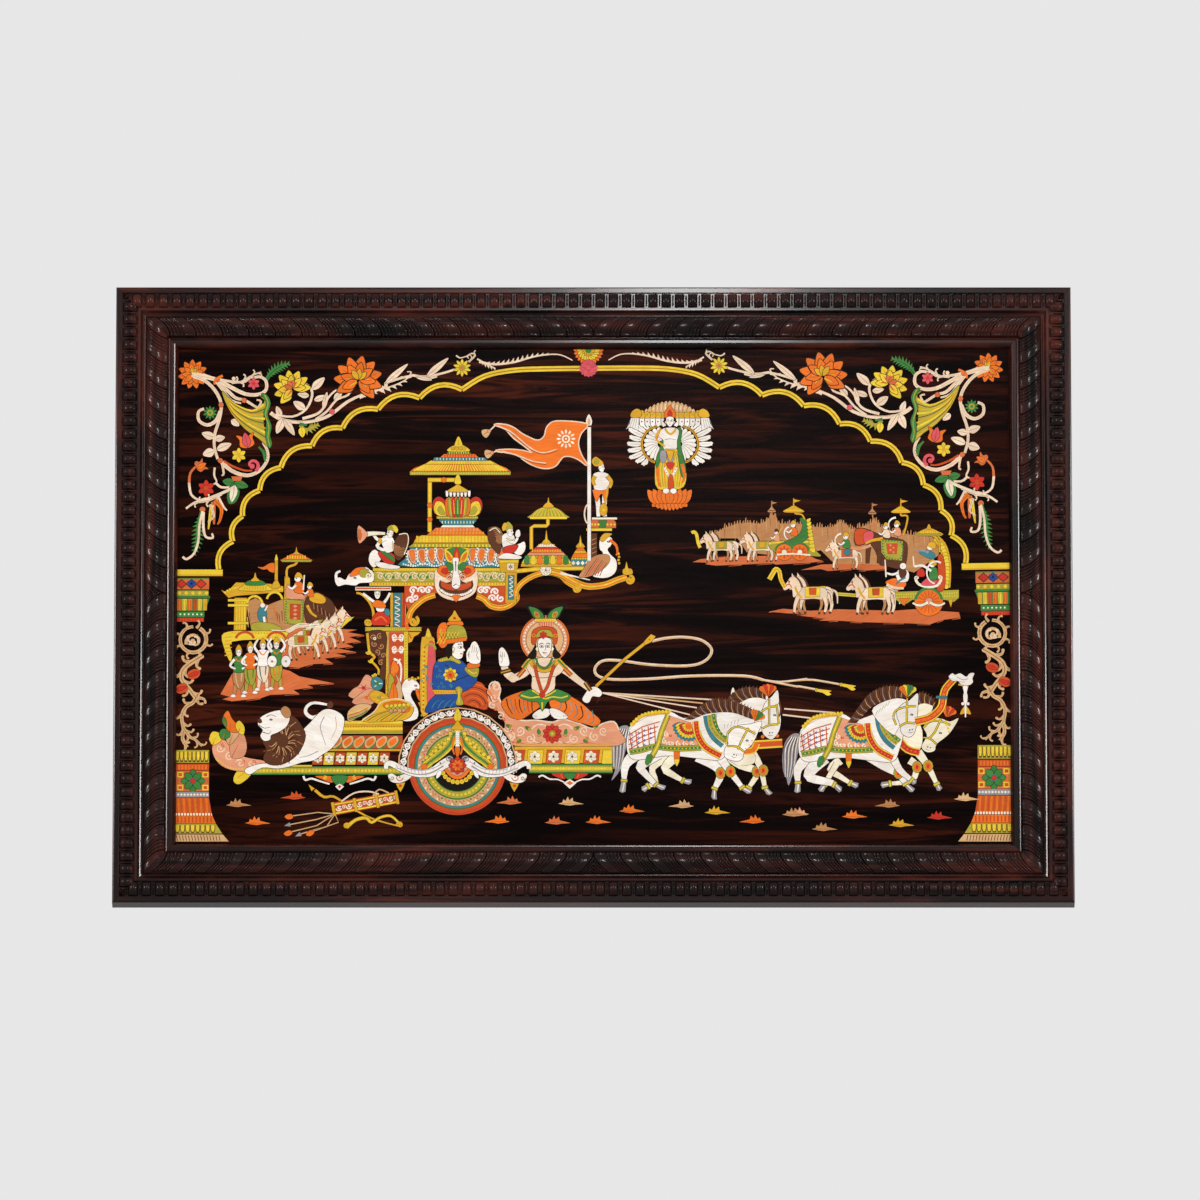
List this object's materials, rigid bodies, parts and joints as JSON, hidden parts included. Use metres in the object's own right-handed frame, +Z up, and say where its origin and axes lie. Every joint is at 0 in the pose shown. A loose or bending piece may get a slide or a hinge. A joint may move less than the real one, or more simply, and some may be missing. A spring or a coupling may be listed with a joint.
{
  "type": "wood inlay panel",
  "caption": "Framed wall panel of dark wood with a flush inlaid procession of a chariot and horses under a cusped arch, in a carved and mitred frame.",
  "frame": {"origin": "middle of the panel's back, where it lies against the wall", "axes": "+Z up, the picture faces -Y, +X to the viewer's right, +Y into the wall"},
  "size_m": [1.8542, 0.044, 1.2446],
  "materials": {
    "rosewood_frame": "carved rosewood, polished",
    "rosewood_ground": "dark rosewood veneer, polished",
    "inlay_yellow": "dyed inlay wood, polished",
    "inlay_gold": "dyed inlay wood, polished",
    "inlay_orange": "dyed inlay wood, polished",
    "inlay_cream": "pale inlay wood, polished",
    "inlay_ivory": "white inlay wood, polished",
    "inlay_tan": "tan inlay wood, polished",
    "inlay_salmon": "dyed inlay wood, polished",
    "inlay_blue": "dyed inlay wood, polished"
  },
  "bodies": {
    "root": {"rail_top": "rosewood_frame", "rail_bottom": "rosewood_frame", "rail_left": "rosewood_frame", "rail_right": "rosewood_frame", "ground_board": "rosewood_ground", "inlay_wheel": "inlay_orange", "inlay_charioteer": "inlay_ivory", "inlay_passenger": "inlay_blue", "inlay_lion": "inlay_ivory", "inlay_rear_horses": "inlay_ivory", "inlay_front_horses": "inlay_ivory", "inlay_pole_end": "inlay_orange", "inlay_deck_rear": "inlay_gold", "inlay_deck_front": "inlay_salmon", "inlay_back_pillar": "inlay_salmon", "inlay_canopy_beam": "inlay_gold", "inlay_dome": "inlay_gold", "inlay_parasol": "inlay_yellow", "inlay_flag": "inlay_orange", "inlay_flag_pole": "inlay_ivory", "inlay_cloud_figure": "inlay_cream", "inlay_left_procession": "inlay_tan", "inlay_far_army": "inlay_tan", "inlay_near_chariot": "inlay_gold", "inlay_bow_and_quiver": "inlay_orange", "inlay_prow_scroll": "inlay_salmon", "inlay_arch_band": "inlay_yellow", "inlay_keystone_flower": "inlay_orange", "inlay_corner_spray_left": "inlay_cream", "inlay_corner_spray_right": "inlay_cream", "inlay_capital_left": "inlay_orange", "inlay_capital_right": "inlay_orange", "inlay_column_scroll_left": "inlay_cream", "inlay_column_scroll_right": "inlay_cream", "inlay_column_base_left": "inlay_orange", "inlay_column_base_right": "inlay_orange"}
  },
  "joints": []
}
